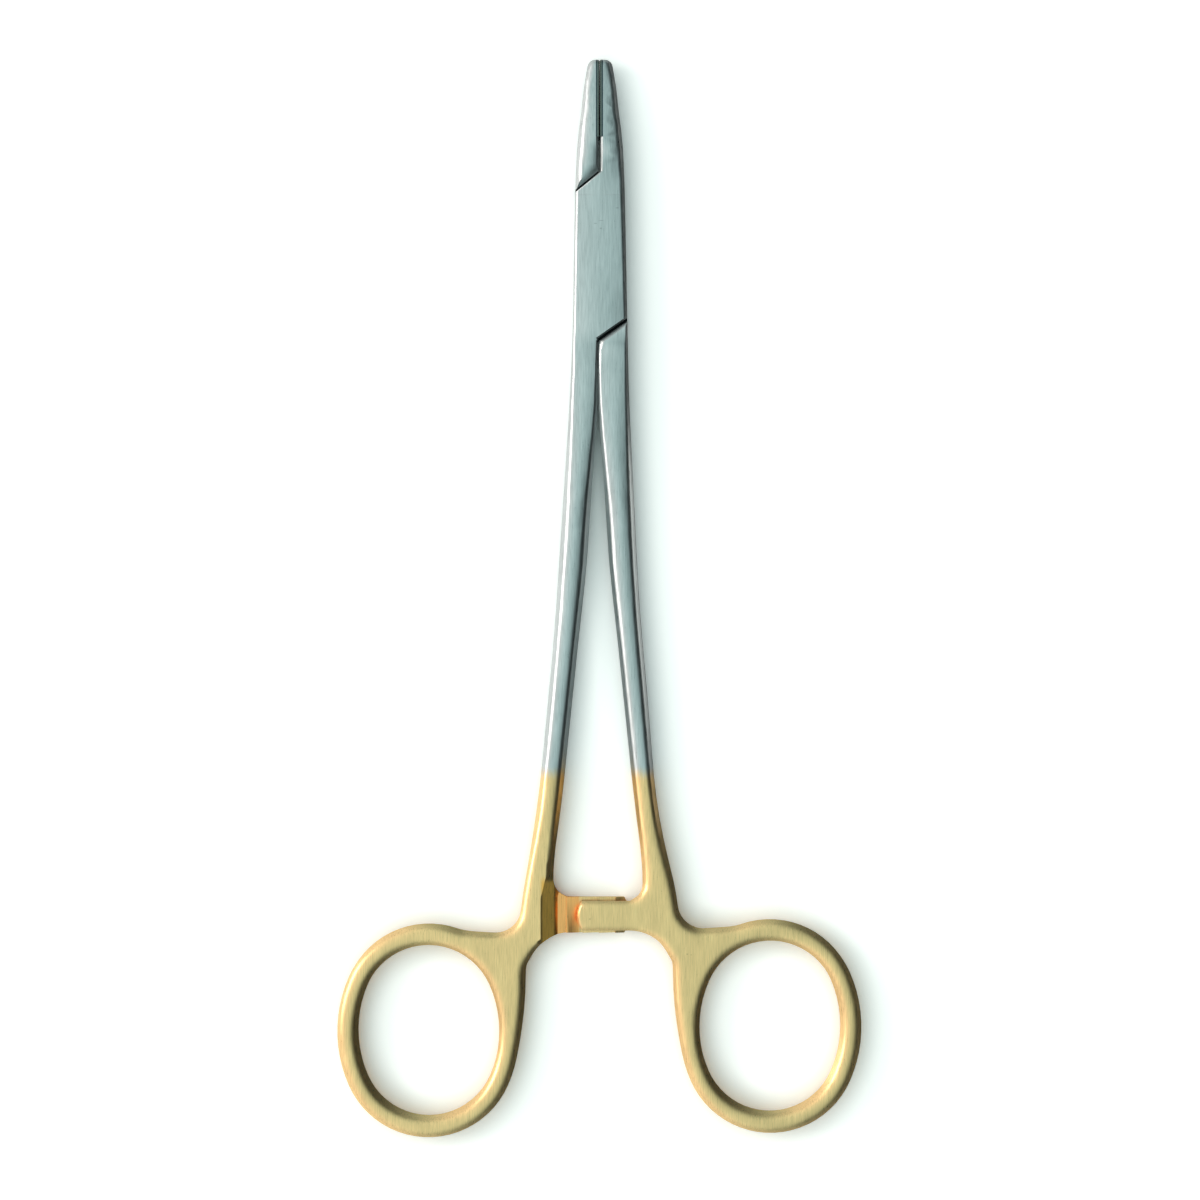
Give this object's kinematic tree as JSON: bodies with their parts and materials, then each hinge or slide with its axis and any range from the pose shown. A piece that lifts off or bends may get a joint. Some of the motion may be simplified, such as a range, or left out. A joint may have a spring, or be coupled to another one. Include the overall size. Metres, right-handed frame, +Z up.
{
  "type": "surgical needle holder",
  "caption": "Long-handled surgical needle holder with box lock, ratchet, finger rings, plated handles and hard-metal jaw inserts.",
  "frame": {"origin": "where the pivot axis meets the underside of the box lock", "axes": "+X to the right across the tool, +Y along the tool from the pivot towards the jaw tips, +Z up along the pivot axis"},
  "size_m": [0.0776, 0.1598, 0.0054],
  "materials": {
    "satin_steel": "satin stainless steel, gold plated from the ratchet down",
    "pin_steel": "stainless steel pin, riveted flush and ground with the box",
    "hard_metal": "ground tungsten carbide with a cross-cut biting face"
  },
  "bodies": {
    "box_side": {"box_half": "satin_steel", "pivot_pin": "pin_steel", "box_jaw_insert": "hard_metal"},
    "tongue_side": {"tongue_half": "satin_steel", "tongue_jaw_insert": "hard_metal"}
  },
  "joints": [
    {"name": "box_lock", "type": "hinge", "parent": "box_side", "child": "tongue_side", "pos_m": [0, 0, 0.0027], "axis": [0, 0, 1], "range_deg": [0, 60]}
  ]
}
